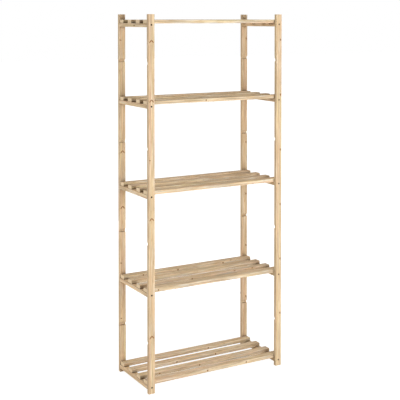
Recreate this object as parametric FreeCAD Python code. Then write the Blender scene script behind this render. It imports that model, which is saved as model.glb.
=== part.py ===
"""Free-standing open shelving unit of pine laths: posts, end rails, slats, screws and nails.

Millimetres. +X is to the right, +Y to the back and +Z up. The origin is on the floor, at the
middle of the unit.
"""
import FreeCAD, Part
import os

# Overall size
WIDTH = 716.0                # over the posts
DEPTH = 322.0                # from the front posts' front faces to the back posts' back faces

# Timber
LATH_WIDTH = 31.0            # posts and rails are cut from one lath section
LATH_THICKNESS = 16.7
SLAT_WIDTH = 36.0
FRONT_SLAT_WIDTH = 42.0      # the front slat of each shelf is wider
SLAT_THICKNESS = 16.7
SLATS_PER_SHELF = 4
EDGE_RADIUS = 1.5            # eased long edges of every piece of timber
SLAT_TO_POST_GAP = 0.5       # between the outer slats and the posts
SLAT_END_INSET = 3.5         # slats' ends, short of the rails' outer faces
SECOND_SLAT_FORWARD = 5.0    # the second slat from the front, ahead of even spacing
THIRD_SLAT_FORWARD = 2.0

# Heights, from the floor upwards
FOOT_HEIGHT = 17.8           # floor to the underside of the lowest rails
FIRST_PITCH = 416.0          # from one shelf's surface to the next
SECOND_PITCH = 441.0
THIRD_PITCH = 404.0
FOURTH_PITCH = 363.0
POST_STAND = 24.8            # posts above the top shelf's surface

# Notches on the posts' inner faces, one in each bay: a flat ledge, a back wall and a sloping top
NOTCH_DEPTH = 7.0
NOTCH_WALL = 9.0             # height of the back wall
NOTCH_RISE = 18.0            # from the ledge to the upper end of the slope
FIRST_NOTCH_DROP = 21.0      # the ledge below the middle of its bay
SECOND_NOTCH_DROP = 3.0
THIRD_NOTCH_DROP = 0.5
FOURTH_NOTCH_DROP = 2.0

# Screws through the posts into the rails
SCREW_HEAD_DIAMETER = 8.0
SCREW_SHANK_DIAMETER = 4.0
SCREW_HEAD_SUNK = 2.5        # head below the post's face
SCREW_RISE = 2.0             # above the middle of the rail's end
SCREW_BITE = 34.0            # length in the rail
SCREW_POINT_LENGTH = 6.0
SCREW_CLEARANCE = 0.1
CROSS_LENGTH = 4.6           # cross recess in the head
CROSS_WIDTH = 1.0
CROSS_DEPTH = 1.6

# Nails through the slats into the rails
NAIL_HEAD_DIAMETER = 4.6
NAIL_HEAD_THICKNESS = 1.0
NAIL_SHANK_DIAMETER = 2.0
NAIL_HEAD_SUNK = 0.3         # head below the slat's surface
NAIL_POINT_LENGTH = 3.0
NAIL_POINT_COVER = 3.0       # wood left under the point
NAIL_CLEARANCE = 0.05
NAIL_SPREAD = 20.0           # between the two nails of a joint, across the slat
NAIL_STAGGER = 12.0          # between the two nails of a joint, along the slat

# How far a cutting shape runs past the surface that it cuts
OVERRUN = 1.0

# Sizes that follow from those above
SHELF_PITCHES = (FIRST_PITCH, SECOND_PITCH, THIRD_PITCH, FOURTH_PITCH)
NOTCH_DROPS = (FIRST_NOTCH_DROP, SECOND_NOTCH_DROP, THIRD_NOTCH_DROP, FOURTH_NOTCH_DROP)
SHELF_BUILD = LATH_THICKNESS + SLAT_THICKNESS
SHELF_TOPS = [FOOT_HEIGHT + SHELF_BUILD]
for pitch in SHELF_PITCHES:
    SHELF_TOPS.append(SHELF_TOPS[-1] + pitch)
HEIGHT = SHELF_TOPS[-1] + POST_STAND
RAIL_LENGTH = DEPTH - 2 * LATH_THICKNESS
SLAT_LENGTH = WIDTH - 2 * SLAT_END_INSET
SLAT_SPAN = RAIL_LENGTH - 2 * SLAT_TO_POST_GAP
SLAT_PITCH = (SLAT_SPAN - SLAT_WIDTH) / (SLATS_PER_SHELF - 1)
SLATS_FORWARD = {2: SECOND_SLAT_FORWARD, 3: THIRD_SLAT_FORWARD}
LATH_CENTRE_X = (WIDTH - LATH_WIDTH) / 2
POST_INNER_Y = RAIL_LENGTH / 2
SCREW_LENGTH = LATH_THICKNESS - SCREW_HEAD_SUNK + SCREW_BITE
NAIL_LENGTH = SHELF_BUILD - NAIL_HEAD_SUNK - NAIL_POINT_COVER

X_AXIS = FreeCAD.Vector(1, 0, 0)
Y_AXIS = FreeCAD.Vector(0, 1, 0)
Z_AXIS = FreeCAD.Vector(0, 0, 1)
SIDES = {"left": -1, "right": 1}
ENDS = {"front": -1, "back": 1}


def timber(centre, size, grain):
    """A bar centred on a point, with its edges along the grain eased."""
    corner = centre - size / 2
    bar = Part.makeBox(size.x, size.y, size.z, corner)
    long_edges = [edge for edge in bar.Edges if abs(edge.tangentAt(0).dot(grain)) > 0.9]
    return bar.makeFillet(EDGE_RADIUS, long_edges)


def turned(profile):
    """The solid that a profile of (radius, distance along +Z) points sweeps about Z."""
    points = [FreeCAD.Vector(radius, 0, along) for radius, along in profile]
    outline = Part.makePolygon(points + points[:1])
    return Part.Face(outline).revolve(FreeCAD.Vector(), Z_AXIS, 360)


def placed(shape, point, direction):
    """A copy of a shape modelled along +Z, moved to a point and turned to a direction."""
    copy = shape.copy()
    copy.Placement = FreeCAD.Placement(point, FreeCAD.Rotation(Z_AXIS, direction))
    return copy


def screw_shape():
    """A countersunk wood screw from its head at the origin along +Z, with a cross recess."""
    head = SCREW_HEAD_DIAMETER / 2
    shank = SCREW_SHANK_DIAMETER / 2
    body = turned([
        (0, 0),
        (head, 0),
        (shank, head - shank),
        (shank, SCREW_LENGTH - SCREW_POINT_LENGTH),
        (0, SCREW_LENGTH),
    ])
    slots = []
    for length, width in ((CROSS_LENGTH, CROSS_WIDTH), (CROSS_WIDTH, CROSS_LENGTH)):
        corner = FreeCAD.Vector(-length / 2, -width / 2, -OVERRUN)
        slots.append(Part.makeBox(length, width, CROSS_DEPTH + OVERRUN, corner))
    return body.cut(slots)


def screw_hole_shape():
    """The hole that a screw sits in, with the open bore above its sunk head."""
    head = SCREW_HEAD_DIAMETER / 2 + SCREW_CLEARANCE
    shank = SCREW_SHANK_DIAMETER / 2 + SCREW_CLEARANCE
    mouth = -SCREW_HEAD_SUNK - OVERRUN
    return turned([
        (0, mouth),
        (head, mouth),
        (head, 0),
        (shank, head - shank),
        (shank, SCREW_LENGTH + SCREW_CLEARANCE),
        (0, SCREW_LENGTH + SCREW_CLEARANCE),
    ])


def nail_shape():
    """A flat-headed nail from its head at the origin along +Z."""
    head = NAIL_HEAD_DIAMETER / 2
    shank = NAIL_SHANK_DIAMETER / 2
    return turned([
        (0, 0),
        (head, 0),
        (head, NAIL_HEAD_THICKNESS),
        (shank, NAIL_HEAD_THICKNESS),
        (shank, NAIL_LENGTH - NAIL_POINT_LENGTH),
        (0, NAIL_LENGTH),
    ])


def nail_hole_shape():
    """The hole that a nail sits in, open above its sunk head."""
    head = NAIL_HEAD_DIAMETER / 2 + NAIL_CLEARANCE
    shank = NAIL_SHANK_DIAMETER / 2 + NAIL_CLEARANCE
    mouth = -NAIL_HEAD_SUNK - OVERRUN
    seat = NAIL_HEAD_THICKNESS + NAIL_CLEARANCE
    return turned([
        (0, mouth),
        (head, mouth),
        (head, seat),
        (shank, seat),
        (shank, NAIL_LENGTH + NAIL_CLEARANCE),
        (0, NAIL_LENGTH + NAIL_CLEARANCE),
    ])


def rail_centre_z(shelf_top):
    return shelf_top - SLAT_THICKNESS - LATH_THICKNESS / 2


def slat_bands():
    """Middle and width of each of one shelf's slats, from the front to the back."""
    bands = []
    for number in range(1, SLATS_PER_SHELF + 1):
        front = (number - 1) * SLAT_PITCH - SLAT_SPAN / 2 - SLATS_FORWARD.get(number, 0)
        width = FRONT_SLAT_WIDTH if number == 1 else SLAT_WIDTH
        bands.append((front + width / 2, width))
    return bands


def screw_place(side, end, shelf_top):
    """Head centre and direction of the screw through one post at one shelf."""
    head_y = ENDS[end] * (DEPTH / 2 - SCREW_HEAD_SUNK)
    head_z = rail_centre_z(shelf_top) + SCREW_RISE
    point = FreeCAD.Vector(SIDES[side] * LATH_CENTRE_X, head_y, head_z)
    return point, Y_AXIS * -ENDS[end]


def nail_places(side, slat_y, shelf_top):
    """Head centres of the two staggered nails of one slat on one rail."""
    places = []
    for step in (-1, 1):
        x = SIDES[side] * (LATH_CENTRE_X + step * NAIL_STAGGER / 2)
        places.append(FreeCAD.Vector(x, slat_y + step * NAIL_SPREAD / 2, shelf_top - NAIL_HEAD_SUNK))
    return places


def notch_ledges():
    """Heights of the notches' ledges, one in each clear bay between two shelves."""
    ledges = []
    for index, drop in enumerate(NOTCH_DROPS):
        bay_top = SHELF_TOPS[index + 1] - SHELF_BUILD
        ledges.append((SHELF_TOPS[index] + bay_top) / 2 - drop)
    return ledges


def notch_cut(side, end, ledge):
    """What one notch takes from a post's inner face: ledge, back wall and a slope that runs out above."""
    inward = -ENDS[end]
    face_y = ENDS[end] * POST_INNER_Y
    run_out = (NOTCH_RISE - NOTCH_WALL) * OVERRUN / NOTCH_DEPTH
    start_x = SIDES[side] * LATH_CENTRE_X - LATH_WIDTH / 2 - OVERRUN
    points = [
        FreeCAD.Vector(start_x, face_y + inward * OVERRUN, ledge),
        FreeCAD.Vector(start_x, face_y - inward * NOTCH_DEPTH, ledge),
        FreeCAD.Vector(start_x, face_y - inward * NOTCH_DEPTH, ledge + NOTCH_WALL),
        FreeCAD.Vector(start_x, face_y + inward * OVERRUN, ledge + NOTCH_RISE + run_out),
    ]
    outline = Part.makePolygon(points + points[:1])
    return Part.Face(outline).extrude(X_AXIS * (LATH_WIDTH + 2 * OVERRUN))


def post(side, end):
    """One post, with its notches and a hole at each shelf."""
    centre_y = ENDS[end] * (DEPTH - LATH_THICKNESS) / 2
    centre = FreeCAD.Vector(SIDES[side] * LATH_CENTRE_X, centre_y, HEIGHT / 2)
    cuts = [notch_cut(side, end, ledge) for ledge in notch_ledges()]
    cuts += [placed(screw_hole_shape(), *screw_place(side, end, top)) for top in SHELF_TOPS]
    return timber(centre, FreeCAD.Vector(LATH_WIDTH, LATH_THICKNESS, HEIGHT), Z_AXIS).cut(cuts)


def rail(side, shelf_top):
    """One rail, with its end holes for screws and its upper holes for nails."""
    centre = FreeCAD.Vector(SIDES[side] * LATH_CENTRE_X, 0, rail_centre_z(shelf_top))
    cuts = [placed(screw_hole_shape(), *screw_place(side, end, shelf_top)) for end in ENDS]
    for slat_y, _ in slat_bands():
        cuts += [placed(nail_hole_shape(), point, -Z_AXIS) for point in nail_places(side, slat_y, shelf_top)]
    return timber(centre, FreeCAD.Vector(LATH_WIDTH, RAIL_LENGTH, LATH_THICKNESS), Y_AXIS).cut(cuts)


def slat(slat_y, width, shelf_top):
    """One slat, with two nail holes over each rail."""
    centre = FreeCAD.Vector(0, slat_y, shelf_top - SLAT_THICKNESS / 2)
    cuts = []
    for side in SIDES:
        cuts += [placed(nail_hole_shape(), point, -Z_AXIS) for point in nail_places(side, slat_y, shelf_top)]
    return timber(centre, FreeCAD.Vector(SLAT_LENGTH, width, SLAT_THICKNESS), X_AXIS).cut(cuts)


def shelf_screws(shelf_top):
    """The screws that hold one shelf's rails to the posts."""
    screws = []
    for side in SIDES:
        for end in ENDS:
            screws.append(placed(screw_shape(), *screw_place(side, end, shelf_top)))
    return Part.makeCompound(screws)


def shelf_nails(shelf_top):
    """The nails that hold one shelf's slats to its rails."""
    nails = []
    for side in SIDES:
        for slat_y, _ in slat_bands():
            nails += [placed(nail_shape(), point, -Z_AXIS) for point in nail_places(side, slat_y, shelf_top)]
    return Part.makeCompound(nails)


def all_pieces():
    """Every node's shape, by name. Shelves count from the bottom, and slats from the front."""
    pieces = {}
    for end in ENDS:
        for side in SIDES:
            pieces[f"post_{end}_{side}"] = post(side, end)
    for number, top in enumerate(SHELF_TOPS, start=1):
        for side in SIDES:
            pieces[f"shelf_{number}_rail_{side}"] = rail(side, top)
        for index, (slat_y, width) in enumerate(slat_bands(), start=1):
            pieces[f"shelf_{number}_slat_{index}"] = slat(slat_y, width, top)
        pieces[f"shelf_{number}_screws"] = shelf_screws(top)
        pieces[f"shelf_{number}_nails"] = shelf_nails(top)
    return pieces


os.makedirs("parts", exist_ok=True)
for node, shape in all_pieces().items():
    shape.exportStep(f"parts/{node}.step")
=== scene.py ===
"""Looks of the slatted pine shelving unit: its pine and steel, and the floor, light and camera round it.

Metres, in the part's own frame: +X to the right, +Y to the back, +Z up, with the origin on the floor.
"""

import math
import random
from collections import namedtuple

import bpy
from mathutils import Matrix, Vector


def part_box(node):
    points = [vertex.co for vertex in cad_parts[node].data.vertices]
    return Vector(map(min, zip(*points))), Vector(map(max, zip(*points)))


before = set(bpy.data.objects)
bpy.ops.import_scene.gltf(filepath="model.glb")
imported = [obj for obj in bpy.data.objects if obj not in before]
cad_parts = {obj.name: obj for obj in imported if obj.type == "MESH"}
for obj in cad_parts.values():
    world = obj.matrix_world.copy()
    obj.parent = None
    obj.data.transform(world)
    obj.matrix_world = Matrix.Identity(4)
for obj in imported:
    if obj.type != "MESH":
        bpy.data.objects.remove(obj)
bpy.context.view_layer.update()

Panel = namedtuple("Panel", "place width height power")
WhorlKnot = namedtuple("WhorlKnot", "across half_length half_width tilt")
Knot = namedtuple("Knot", "heart half_sizes tilt")

WHITE = (1.0, 1.0, 1.0, 1.0)

# Camera, as the photograph was taken: nearly level, from the front left, in pixels, millimetres and metres
IMAGE_SIZE = 400.0
FOCAL_LENGTH_PIXELS = 918.35
AXIS_ROW = 43.25
SENSOR_WIDTH = 36.0
CAMERA_PLACE = (-2.1763, -3.7967, 1.6833)
CAMERA_YAW = math.radians(29.79)
CAMERA_PITCH = math.radians(1.5834)

# Light: a surround that lights from above, and soft upright panels round the unit
AMBIENT_STRENGTH = 0.41
LAMP_AIM = (0.0, 0.0, 0.85)
LAMPS = {
    "key": Panel((0.0, -3.2, 0.80), 1.6, 1.5, 33.0),
    "upper": Panel((0.0, -3.2, 1.70), 1.6, 1.0, 26.0),
    "front_right": Panel((1.6, -3.0, 0.80), 1.6, 1.5, 10.0),
    "left": Panel((-1.4, 0.55, 1.02), 1.2, 2.0, 7.2),
    "back_right": Panel((2.4, 2.0, 0.9), 1.6, 1.7, 8.0),
    "back": Panel((0.2, 3.2, 0.70), 2.2, 1.4, 22.0),
}

# Floor: it glows white to the eye, a little less near the unit, where its shadow falls
FLOOR_SIZE = 60.0
FLOOR_COLOUR = (0.82, 0.82, 0.82, 1.0)
FLOOR_SHADE = (0.38, 0.38, 0.38, 1.0)
FLOOR_GLOWS = (0.90, 1.0)
FLOOR_GLOW_RADII = (0.5, 1.8)

# Axes of the frame along each kind of lath's grain, across its width and through its thickness
LATH_AXES = {"post": (2, 0, 1), "rail": (1, 0, 2), "slat": (0, 1, 2)}

# Kinds of lath: how light they are, how strong their markings are, and their tints; the slats' tints are
# painted light, lighter on their wide faces than on their edges and ends, which lifts their tops
TONES = {"post": 0.92, "rail": 1.05, "slat": 0.93}
MARKINGS = {"post": 0.75, "rail": 0.9, "slat": 1.1}
WIDE_FACE_LIGHT_TINTS = {"post": WHITE, "rail": WHITE, "slat": (1.07, 1.10, 1.13, 1.0)}
EDGE_LIGHT_TINTS = {"post": WHITE, "rail": WHITE, "slat": (0.97, 1.02, 1.07, 1.0)}

# How one lath may differ from the next of its kind; its shift is in sizes of its grain noises
PITH_SIDEWAYS = 0.05
PITH_DISTANCES = (0.018, 0.06)
LONGEST_SHIFT = 50
ROSINESSES = (0.25, 0.6)
YELLOWNESSES = (0.35, 0.8)
SHADES = (0.96, 1.05)

# Grain noises: length along the grain and width across it
WANDER_SIZE = (0.28, 0.25)
UNEVENNESS_SIZE = (0.9, 0.012)
STREAK_SIZE = (0.40, 0.009)
BAND_SIZE = (0.13, 0.0050)
PATCH_SIZE = (0.085, 0.0065)
FLECK_SIZE = (0.030, 0.0026)
FIBRE_SIZE = (0.045, 0.0007)
PLAIN_DETAIL = 1.0
GRAIN_DETAIL = 2.0
GRAIN_ROUGHNESS = 0.5
FIBRE_ROUGHNESS = 0.6
NOISE_MIDDLE = (0.5, 0.5, 0.5)

# Growth rings, where a ring's phase runs from 0 to 1
RING_PITCH = 0.0048
RING_UNEVENNESS = 1.1
RING_DARKENS = (0.25, 0.86)
RING_ENDS = (0.90, 1.0)
PITH_WANDER = (0.0, 0.006, 0.006)
ACROSS_GRAIN = (0.0, 1.0, 1.0)
LATE_WOOD_SHARE = 0.75

# Markings: the noise values where each one starts and is full, and its strength
ROSY_STREAKS = (0.50, 0.68)
YELLOW_STREAKS = (0.48, 0.32)
PALE_PATCHES = (0.52, 0.70)
HONEY_PATCHES = (0.48, 0.30)
PATCH_STRENGTH = 0.6
BANDS = (0.32, 0.68)
BAND_LIGHTENING = 0.15
BAND_DARKENING = 0.22
FIBRES = (0.30, 0.70)
FIBRE_TONES = (0.95, 1.04)
BROWN_FLECKS = (0.62, 0.76)
FLECK_STRENGTH = 0.6

# Surface of the planed pine
ROUGH_FIBRES = (0.25, 0.75)
PINE_ROUGHNESSES = (0.86, 0.74)
PINE_GLOSS = 0.03
RELIEF_SHARE = 0.5
BUMP_STRENGTH = 0.35
BUMP_DEPTH = 0.00025

# How squarely a face looks along an axis for it to count as an edge, a wide face or an end
EDGE_FACING = 0.7
WIDE_FACING = (0.6, 0.9)
END_FACING = (0.8, 0.95)
# how much of an end takes the pale end grain, which is partly painted light
END_GRAIN_AND_LIGHT_SHARE = 0.9

# Painted shade in crevices, where neighbouring laths close in: a brown painted into the wood's colour
CREVICE_REACH = 0.09
CREVICE_SAMPLES = 8
CREVICE_OPENNESS = (0.25, 0.80)
PAINTED_SHADE_BROWN = (0.13, 0.10, 0.075, 1.0)

# Zones of a knot, where a distance of 1 is its own rim, and how far it pushes the rings out
KNOT_WARP_REACH = (1.0, 3.5)
KNOT_WARP = 0.0045
KNOT_HALO_REACH = (1.6, 1.0)
KNOT_HALO_STRENGTH = 0.45
KNOT_RIM_REACH = (1.15, 0.85)
KNOT_HEART_REACH = (0.85, 0.55)

# Knots that chance puts on the laths: at most one to a cell, each a share of its cell in size
KNOT_CELL_SIZE = (0.10, 0.05)
KNOT_CHANCES = {"post": 0.03, "rail": 0.16, "slat": 0.05}
KNOT_SHARE = 0.055
EDGE_KNOT_ROW = 0.5
NO_KNOT = 30.0

# Knots with places of their own: how deep they go, and the axis that they tilt about
KNOT_DEPTH = 0.008
KNOT_AXIS = (0.0, 0.0, 1.0)

# Knots on the posts' front faces: whorls at even heights, each with its own kind on each post
FIRST_WHORL_HEIGHT = 0.2555
WHORL_PITCH = 0.2646
POST_WHORLS = {
    "post_front_left": ("pair", "none", "pair", "left", "pair", "pair"),
    "post_front_right": ("right", "right", "right", "right", "right", "right"),
    "post_back_left": ("left", "left", "pair", "pair", "none", "left"),
    "post_back_right": ("right", "right", "right", "right", "none", "right"),
}
WHORL_KINDS = {
    "none": (),
    "pair": (
        WhorlKnot(-0.0053, 0.0080, 0.0023, math.radians(-41.0)),
        WhorlKnot(0.0053, 0.0080, 0.0023, math.radians(41.0)),
    ),
    "left": (WhorlKnot(-0.0090, 0.0022, 0.0040, math.radians(-12.0)),),
    "right": (WhorlKnot(0.0085, 0.0052, 0.0030, math.radians(12.0)),),
}

# Knots on the slats' front edges: places along X
SLAT_EDGE_KNOTS = {
    "shelf_1_slat_1": (-0.044, 0.169),
    "shelf_1_slat_2": (-0.254, -0.042),
    "shelf_1_slat_3": (-0.117, 0.097),
    "shelf_1_slat_4": (0.106,),
    "shelf_2_slat_1": (-0.301,),
    "shelf_2_slat_2": (-0.082,),
    "shelf_2_slat_4": (-0.252, 0.192),
    "shelf_4_slat_1": (-0.052,),
}
EDGE_KNOT_HALF_SIZES = (0.0034, KNOT_DEPTH, 0.0034)

# Steel: the screws are darker on the left posts than on the right ones
LEFT_SCREW_COLOUR = (0.020, 0.014, 0.010, 1.0)
RIGHT_SCREW_COLOUR = (0.38, 0.26, 0.17, 1.0)
SCREW_ROUGHNESS = 0.60
NAIL_COLOUR = (0.45, 0.44, 0.42, 1.0)
NAIL_ROUGHNESS = 0.40
LEFT_TO_RIGHT_CHANGE = (-0.1, 0.1)
SCUFF_SCALE = (900.0, 900.0, 900.0)
SCUFF_DETAIL = 3.0
SCUFFS = (0.35, 0.65)
SCUFF_TONES = (1.0, 0.6)
ROUGH_SCUFFS = (0.3, 0.7)
SCUFF_ROUGHENING = 0.2

# Sockets of a mix node that hold its two colours and the mixed one
FIRST_COLOUR = 6
SECOND_COLOUR = 7
MIXED_COLOUR = 2


def srgb(red, green, blue):
    """A linear colour from display values of 0 to 255."""
    linear = []
    for value in (red, green, blue):
        share = value / 255.0
        linear.append(share / 12.92 if share <= 0.04045 else ((share + 0.055) / 1.055) ** 2.4)
    return (*linear, 1.0)


# Pine's own colours, under plain white light
PINE_EARLY = srgb(243, 218, 183)
PINE_LATE = srgb(217, 176, 127)
PINE_ROSY = srgb(234, 190, 160)
PINE_YELLOW = srgb(245, 224, 172)
PINE_PALE = srgb(244, 229, 206)
PINE_HONEY = srgb(226, 189, 142)
PINE_BROWN = srgb(178, 134, 92)
# the sawn ends' colour: paler end grain, made paler still as painted light on the ends
END_GRAIN_AND_LIGHT = srgb(255, 229, 191)
KNOT_HEART = srgb(158, 108, 66)
KNOT_RIM = srgb(112, 72, 42)


class Graph:
    """The nodes of a material or a world, with short calls that add a node and wire its inputs."""

    def __init__(self, owner):
        self.owner = owner
        owner.use_nodes = True
        self.tree = owner.node_tree
        self.tree.nodes.clear()

    def node(self, kind, inputs=(), **settings):
        node = self.tree.nodes.new(kind)
        for key, value in settings.items():
            setattr(node, key, value)
        for socket, value in dict(inputs).items():
            self.feed(node.inputs[socket], value)
        return node

    def feed(self, socket, value):
        if isinstance(value, bpy.types.NodeSocket):
            self.tree.links.new(value, socket)
        else:
            socket.default_value = value

    def math(self, operation, *values):
        return self.node("ShaderNodeMath", enumerate(values), operation=operation).outputs[0]

    def vector(self, operation, *values):
        return self.node("ShaderNodeVectorMath", enumerate(values), operation=operation).outputs["Vector"]

    def length(self, vector):
        return self.node("ShaderNodeVectorMath", {0: vector}, operation="LENGTH").outputs["Value"]

    def split(self, vector):
        return self.node("ShaderNodeSeparateXYZ", {"Vector": vector}).outputs

    def ramp(self, value, low, high, start=0.0, end=1.0):
        """A smooth step from start, where value is at low, to end, where it is at high."""
        return self.node("ShaderNodeMapRange", {
            "Value": value,
            "From Min": low,
            "From Max": high,
            "To Min": start,
            "To Max": end,
        }, interpolation_type="SMOOTHSTEP").outputs["Result"]

    def mix(self, share, first, second, blend="MIX"):
        inputs = {"Factor": share, FIRST_COLOUR: first, SECOND_COLOUR: second}
        node = self.node("ShaderNodeMix", inputs, data_type="RGBA", blend_type=blend)
        return node.outputs[MIXED_COLOUR]

    def times(self, first, second):
        return self.mix(1.0, first, second, "MULTIPLY")

    def grey(self, level):
        inputs = {"Red": level, "Green": level, "Blue": level}
        return self.node("ShaderNodeCombineColor", inputs).outputs["Color"]

    def noise(self, place, detail=GRAIN_DETAIL, roughness=GRAIN_ROUGHNESS):
        inputs = {"Vector": place, "Scale": 1.0, "Detail": detail, "Roughness": roughness}
        return self.node("ShaderNodeTexNoise", inputs).outputs

    def mix_shaders(self, share, first, second):
        return self.node("ShaderNodeMixShader", {"Fac": share, 1: first, 2: second}).outputs[0]

    def show(self, shader, output="ShaderNodeOutputMaterial"):
        self.node(output, {"Surface": shader})


class Lath:
    """Where one piece of timber lies, which way its grain runs and how it differs from the others."""

    def __init__(self, node, kind, number):
        low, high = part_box(node)
        self.node = node
        self.kind = kind
        self.axes = LATH_AXES[kind]
        self.centre = (low + high) / 2
        self.low = low - self.centre
        draw = random.Random(number)
        pith_across = draw.uniform(-PITH_SIDEWAYS, PITH_SIDEWAYS)
        pith_side = draw.choice((-1, 1))
        self.pith = (0.0, pith_across, pith_side * draw.uniform(*PITH_DISTANCES))
        self.shift = tuple(draw.uniform(0, LONGEST_SHIFT) for _ in range(3))
        self.rosiness = draw.uniform(*ROSINESSES)
        self.yellowness = draw.uniform(*YELLOWNESSES)
        self.shade = TONES[kind] * draw.uniform(*SHADES)
        self.marking = MARKINGS[kind]


def post_knots(lath):
    """The whorls of knots on a post's front face, from the post's middle."""
    _, _, through = lath.axes
    knots = []
    for index, kind in enumerate(POST_WHORLS[lath.node]):
        height = FIRST_WHORL_HEIGHT + index * WHORL_PITCH - lath.centre.z
        for across, half_length, half_width, tilt in WHORL_KINDS[kind]:
            heart = (height, across, lath.low[through])
            knots.append(Knot(heart, (half_length, half_width, KNOT_DEPTH), tilt))
    return knots


def slat_knots(lath):
    """The knots on a slat's front edge, from the slat's middle."""
    _, across, _ = lath.axes
    places = SLAT_EDGE_KNOTS.get(lath.node, ())
    return [Knot((x, lath.low[across], 0.0), EDGE_KNOT_HALF_SIZES, 0.0) for x in places]


def placed_knots(lath):
    """The knots that have their own places on a lath, besides those that chance puts there."""
    if lath.kind == "post":
        return post_knots(lath)
    if lath.kind == "slat":
        return slat_knots(lath)
    return []


def local_place(graph, lath):
    """The surface point, measured from the lath's middle along its grain, its width and its thickness."""
    place = graph.node("ShaderNodeTexCoord").outputs["Object"]
    offset = graph.split(graph.vector("SUBTRACT", place, tuple(lath.centre)))
    inputs = {socket: offset[axis] for socket, axis in enumerate(lath.axes)}
    return graph.node("ShaderNodeCombineXYZ", inputs).outputs["Vector"]


def facing(graph, axis):
    """How squarely the surface looks along an axis of the frame, either way: 0 to 1."""
    normal = graph.node("ShaderNodeNewGeometry").outputs["True Normal"]
    return graph.math("ABSOLUTE", graph.split(normal)[axis])


def stretched(graph, lath, place, size):
    """Texture coordinates with one unit to a length along the grain and to a width across it."""
    length, width = size
    scaled = graph.vector("MULTIPLY", place, (1 / length, 1 / width, 1 / width))
    return graph.vector("ADD", scaled, lath.shift)


def grain_noise(graph, lath, place, size, **kind):
    """A number that changes slowly along the grain and quickly across it."""
    return graph.noise(stretched(graph, lath, place, size), **kind)["Fac"]


def on_face(graph, lath, place):
    """The place along and across its own long face, with the edges' rows set apart from the wide faces'."""
    _, across, _ = lath.axes
    along_grain, over_width, over_thickness = graph.split(place)
    on_edge = graph.math("GREATER_THAN", facing(graph, across), EDGE_FACING)
    on_wide = graph.math("SUBTRACT", 1.0, on_edge)
    edge_row = graph.math("MULTIPLY", on_edge, graph.math("ADD", over_thickness, EDGE_KNOT_ROW))
    wide_row = graph.math("MULTIPLY", on_wide, over_width)
    inputs = {"X": along_grain, "Y": graph.math("ADD", edge_row, wide_row)}
    return graph.node("ShaderNodeCombineXYZ", inputs).outputs["Vector"]


def chance_knot_distance(graph, lath, place):
    """Distance to the nearest knot that chance puts on the lath, where 1 is the knot's own rim."""
    cells = graph.node("ShaderNodeTexVoronoi", {
        "Vector": stretched(graph, lath, on_face(graph, lath, place), KNOT_CELL_SIZE),
        "Scale": 1.0,
    }, feature="F1", voronoi_dimensions="2D")
    chance = graph.node("ShaderNodeSeparateColor", {"Color": cells.outputs["Color"]}).outputs[0]
    bare = graph.math("GREATER_THAN", chance, KNOT_CHANCES[lath.kind])
    distance = graph.math("DIVIDE", cells.outputs["Distance"], KNOT_SHARE)
    return graph.math("ADD", distance, graph.math("MULTIPLY", bare, NO_KNOT))


def placed_knot_distance(graph, place, knot):
    """Distance to one placed knot, where 1 is the knot's own rim."""
    turned = graph.node("ShaderNodeVectorRotate", {
        "Vector": graph.vector("SUBTRACT", place, knot.heart),
        "Axis": KNOT_AXIS,
        "Angle": knot.tilt,
    }, rotation_type="AXIS_ANGLE").outputs["Vector"]
    return graph.length(graph.vector("DIVIDE", turned, knot.half_sizes))


def knot_distance(graph, lath, place):
    """Distance to the nearest knot of any kind, where 1 is the knot's own rim."""
    nearest = chance_knot_distance(graph, lath, place)
    for knot in placed_knots(lath):
        nearest = graph.math("MINIMUM", nearest, placed_knot_distance(graph, place, knot))
    return nearest


def late_wood(graph, lath, place, knot):
    """Growth rings round a pith beside the lath: 0 in early wood, 1 in the dark late wood."""
    wander = graph.noise(stretched(graph, lath, place, WANDER_SIZE))["Color"]
    wander = graph.vector("MULTIPLY", graph.vector("SUBTRACT", wander, NOISE_MIDDLE), PITH_WANDER)
    from_pith = graph.vector("SUBTRACT", graph.vector("ADD", place, wander), lath.pith)
    radius = graph.length(graph.vector("MULTIPLY", from_pith, ACROSS_GRAIN))
    radius = graph.math("ADD", radius, graph.ramp(knot, *KNOT_WARP_REACH, KNOT_WARP, 0.0))
    uneven = graph.math("MULTIPLY", grain_noise(graph, lath, place, UNEVENNESS_SIZE), RING_UNEVENNESS)
    phase = graph.math("FRACT", graph.math("ADD", graph.math("DIVIDE", radius, RING_PITCH), uneven))
    rise = graph.ramp(phase, *RING_DARKENS)
    fall = graph.ramp(phase, *RING_ENDS, 1.0, 0.0)
    return graph.math("MULTIPLY", rise, fall)


def clear_wood(graph, lath, place, late):
    """The wood's colour between its knots: rings, rosy and yellow streaks, and pale and honey patches."""
    streak = grain_noise(graph, lath, place, STREAK_SIZE)
    patch = grain_noise(graph, lath, place, PATCH_SIZE, detail=PLAIN_DETAIL)
    patch_strength = PATCH_STRENGTH * lath.marking
    colour = graph.mix(graph.math("MULTIPLY", late, LATE_WOOD_SHARE), PINE_EARLY, PINE_LATE)
    colour = graph.mix(graph.ramp(streak, *ROSY_STREAKS, 0.0, lath.rosiness), colour, PINE_ROSY)
    colour = graph.mix(graph.ramp(streak, *YELLOW_STREAKS, 0.0, lath.yellowness), colour, PINE_YELLOW)
    colour = graph.mix(graph.ramp(patch, *PALE_PATCHES, 0.0, patch_strength), colour, PINE_PALE)
    return graph.mix(graph.ramp(patch, *HONEY_PATCHES, 0.0, patch_strength), colour, PINE_HONEY)


def painted_face_light(graph, lath):
    """Painted light on the lath's faces: the tint of its wide faces, lighter on the slats' tops and
    undersides, or of its edges and ends.
    """
    _, _, through = lath.axes
    on_wide_face = graph.ramp(facing(graph, through), *WIDE_FACING)
    return graph.mix(on_wide_face, EDGE_LIGHT_TINTS[lath.kind], WIDE_FACE_LIGHT_TINTS[lath.kind])


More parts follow.
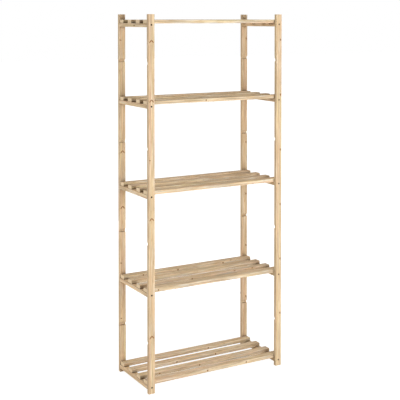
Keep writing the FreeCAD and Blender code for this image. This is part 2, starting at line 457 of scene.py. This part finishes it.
def wood_tone(graph, lath, place, fibre):
    """How light the wood is: its bands and fibres, and the lath's own shade."""
    band = grain_noise(graph, lath, place, BAND_SIZE)
    light_band = (1.0 + BAND_LIGHTENING * lath.marking) * lath.shade
    dark_band = (1.0 - BAND_DARKENING * lath.marking) * lath.shade
    bands = graph.ramp(band, *BANDS, light_band, dark_band)
    return graph.grey(graph.math("MULTIPLY", bands, graph.ramp(fibre, *FIBRES, *FIBRE_TONES)))


def with_end_grain_and_light(graph, lath, colour):
    """The wood's colour with the paler grain of its sawn ends, made paler still as painted light on the
    ends.
    """
    grain, _, _ = lath.axes
    on_end = graph.ramp(facing(graph, grain), *END_FACING, 0.0, END_GRAIN_AND_LIGHT_SHARE)
    return graph.mix(on_end, colour, END_GRAIN_AND_LIGHT)


def with_knots(graph, colour, knot):
    """The wood's colour with its knots: a halo of late wood, a dark rim and a brown heart."""
    colour = graph.mix(graph.ramp(knot, *KNOT_HALO_REACH, 0.0, KNOT_HALO_STRENGTH), colour, PINE_LATE)
    colour = graph.mix(graph.ramp(knot, *KNOT_RIM_REACH), colour, KNOT_RIM)
    return graph.mix(graph.ramp(knot, *KNOT_HEART_REACH), colour, KNOT_HEART)


def painted_crevice_shade(graph):
    """Painted shade: white on open faces, and a brown painted shade that deepens where neighbouring laths
    close in.
    """
    inputs = {"Distance": CREVICE_REACH}
    openness = graph.node("ShaderNodeAmbientOcclusion", inputs, samples=CREVICE_SAMPLES).outputs["AO"]
    return graph.mix(graph.ramp(openness, *CREVICE_OPENNESS), PAINTED_SHADE_BROWN, WHITE)


def pine(lath):
    """Planed, unfinished pine with rings, streaks, fibres and knots."""
    graph = Graph(bpy.data.materials.new(f"pine_{lath.node}"))
    place = local_place(graph, lath)
    knot = knot_distance(graph, lath, place)
    late = late_wood(graph, lath, place, knot)
    fleck = grain_noise(graph, lath, place, FLECK_SIZE, detail=PLAIN_DETAIL)
    fibre = grain_noise(graph, lath, place, FIBRE_SIZE, roughness=FIBRE_ROUGHNESS)

    colour = clear_wood(graph, lath, place, late)
    # painted light: the slats' wide faces, their tops among them, are tinted lighter than their edges and
    # ends
    colour = graph.times(colour, painted_face_light(graph, lath))
    colour = graph.times(colour, wood_tone(graph, lath, place, fibre))
    colour = graph.mix(graph.ramp(fleck, *BROWN_FLECKS, 0.0, FLECK_STRENGTH), colour, PINE_BROWN)
    colour = with_end_grain_and_light(graph, lath, colour)
    colour = with_knots(graph, colour, knot)
    # painted shade: the colour darkens to brown in crevices, where neighbouring laths close in
    colour = graph.times(colour, painted_crevice_shade(graph))

    fibre_relief = graph.math("MULTIPLY", fibre, RELIEF_SHARE)
    ring_relief = graph.math("MULTIPLY", late, 1.0 - RELIEF_SHARE)
    bump = graph.node("ShaderNodeBump", {
        "Strength": BUMP_STRENGTH,
        "Distance": BUMP_DEPTH,
        "Height": graph.math("ADD", fibre_relief, ring_relief),
    })
    shader = graph.node("ShaderNodeBsdfPrincipled", {
        "Base Color": colour,
        "Roughness": graph.ramp(fibre, *ROUGH_FIBRES, *PINE_ROUGHNESSES),
        "Specular IOR Level": PINE_GLOSS,
        "Normal": bump.outputs["Normal"],
    })
    graph.show(shader.outputs["BSDF"])
    return graph.owner


def steel(name, left_colour, right_colour, roughness):
    """Plated steel with fine scuffs, whose colour may change from the left side to the right."""
    graph = Graph(bpy.data.materials.new(name))
    place = graph.node("ShaderNodeTexCoord").outputs["Object"]
    scuff = graph.noise(graph.vector("MULTIPLY", place, SCUFF_SCALE), detail=SCUFF_DETAIL)["Fac"]
    to_right = graph.ramp(graph.split(place)["X"], *LEFT_TO_RIGHT_CHANGE)
    # darker on the left side than on the right
    side_colour = graph.mix(to_right, left_colour, right_colour)
    shader = graph.node("ShaderNodeBsdfPrincipled", {
        "Base Color": graph.times(side_colour, graph.grey(graph.ramp(scuff, *SCUFFS, *SCUFF_TONES))),
        "Metallic": 1.0,
        "Roughness": graph.ramp(scuff, *ROUGH_SCUFFS, roughness, roughness + SCUFF_ROUGHENING),
    })
    graph.show(shader.outputs["BSDF"])
    return graph.owner


def finish_pieces():
    """Gives every piece of the unit its own cut of pine, or its steel, in every material slot."""
    fasteners = {
        "screws": steel("screw_steel", LEFT_SCREW_COLOUR, RIGHT_SCREW_COLOUR, SCREW_ROUGHNESS),
        "nails": steel("nail_steel", NAIL_COLOUR, NAIL_COLOUR, NAIL_ROUGHNESS),
    }
    kinds = (*LATH_AXES, *fasteners)
    for number, node in enumerate(sorted(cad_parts)):
        kind = next(kind for kind in kinds if kind in node)
        material = fasteners[kind] if kind in fasteners else pine(Lath(node, kind, number))
        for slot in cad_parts[node].material_slots:
            slot.material = material


def seen_directly(graph):
    """1 for what the camera, a reflection or glass sees, 0 for what only lights the scene."""
    path = graph.node("ShaderNodeLightPath").outputs
    mirrored = graph.math("MAXIMUM", path["Is Camera Ray"], path["Is Glossy Ray"])
    return graph.math("MAXIMUM", mirrored, path["Is Transmission Ray"])


def light_world():
    """A white surround that lights the scene from above, more softly than it looks."""
    graph = Graph(bpy.data.worlds.new("surround"))
    height = graph.split(graph.node("ShaderNodeTexCoord").outputs["Generated"])["Z"]
    from_above = graph.math("GREATER_THAN", height, 0.0)
    ambient = graph.node("ShaderNodeBackground", {
        "Color": WHITE,
        "Strength": graph.math("MULTIPLY", from_above, AMBIENT_STRENGTH),
    })
    shown = graph.node("ShaderNodeBackground", {"Color": WHITE})
    surround = graph.mix_shaders(seen_directly(graph), ambient.outputs[0], shown.outputs[0])
    graph.show(surround, "ShaderNodeOutputWorld")
    bpy.context.scene.world = graph.owner


def floor_white():
    """A white that keeps a faint shadow near the unit."""
    graph = Graph(bpy.data.materials.new("floor_white"))
    plain = graph.node("ShaderNodeBsdfDiffuse", {"Color": FLOOR_COLOUR})
    shade = graph.node("ShaderNodeBsdfDiffuse", {"Color": FLOOR_SHADE})
    from_middle = graph.length(graph.node("ShaderNodeTexCoord").outputs["Object"])
    glow = graph.node("ShaderNodeEmission", {
        "Strength": graph.ramp(from_middle, *FLOOR_GLOW_RADII, *FLOOR_GLOWS),
    })
    shown = graph.node("ShaderNodeAddShader", {0: shade.outputs[0], 1: glow.outputs[0]})
    graph.show(graph.mix_shaders(seen_directly(graph), plain.outputs[0], shown.outputs[0]))
    return graph.owner


def make_floor():
    """A plain floor, which the painted crevice shade does not count as a lath that closes in on the posts'
    feet.
    """
    half = FLOOR_SIZE / 2
    corners = [(-half, -half, 0), (half, -half, 0), (half, half, 0), (-half, half, 0)]
    mesh = bpy.data.meshes.new("floor")
    mesh.from_pydata(corners, [], [(0, 1, 2, 3)])
    mesh.materials.append(floor_white())
    floor = bpy.data.objects.new("floor", mesh)
    bpy.context.scene.collection.objects.link(floor)
    # keeps the floor out of the painted crevice shade
    floor.visible_shadow = False


def make_lamps():
    """Soft panels aimed at the unit: two in front, and weaker ones round its sides and back."""
    for name, panel in LAMPS.items():
        light = bpy.data.lights.new(name, "AREA")
        light.shape = "RECTANGLE"
        light.size = panel.width
        light.size_y = panel.height
        light.energy = panel.power
        lamp = bpy.data.objects.new(name, light)
        lamp.location = panel.place
        lamp.visible_camera = False
        aim = Vector(LAMP_AIM) - Vector(panel.place)
        lamp.rotation_euler = aim.to_track_quat("-Z", "Y").to_euler()
        bpy.context.scene.collection.objects.link(lamp)


def make_camera():
    """The photograph's camera."""
    lens = bpy.data.cameras.new("camera")
    lens.sensor_width = SENSOR_WIDTH
    lens.lens = FOCAL_LENGTH_PIXELS / IMAGE_SIZE * SENSOR_WIDTH
    lens.shift_y = (AXIS_ROW - IMAGE_SIZE / 2) / IMAGE_SIZE
    camera = bpy.data.objects.new("camera", lens)
    camera.location = CAMERA_PLACE
    camera.rotation_euler = (math.pi / 2 - CAMERA_PITCH, 0.0, -CAMERA_YAW)
    bpy.context.scene.collection.objects.link(camera)
    bpy.context.scene.camera = camera


finish_pieces()
light_world()
make_floor()
make_lamps()
make_camera()
bpy.context.scene.view_settings.view_transform = "Standard"
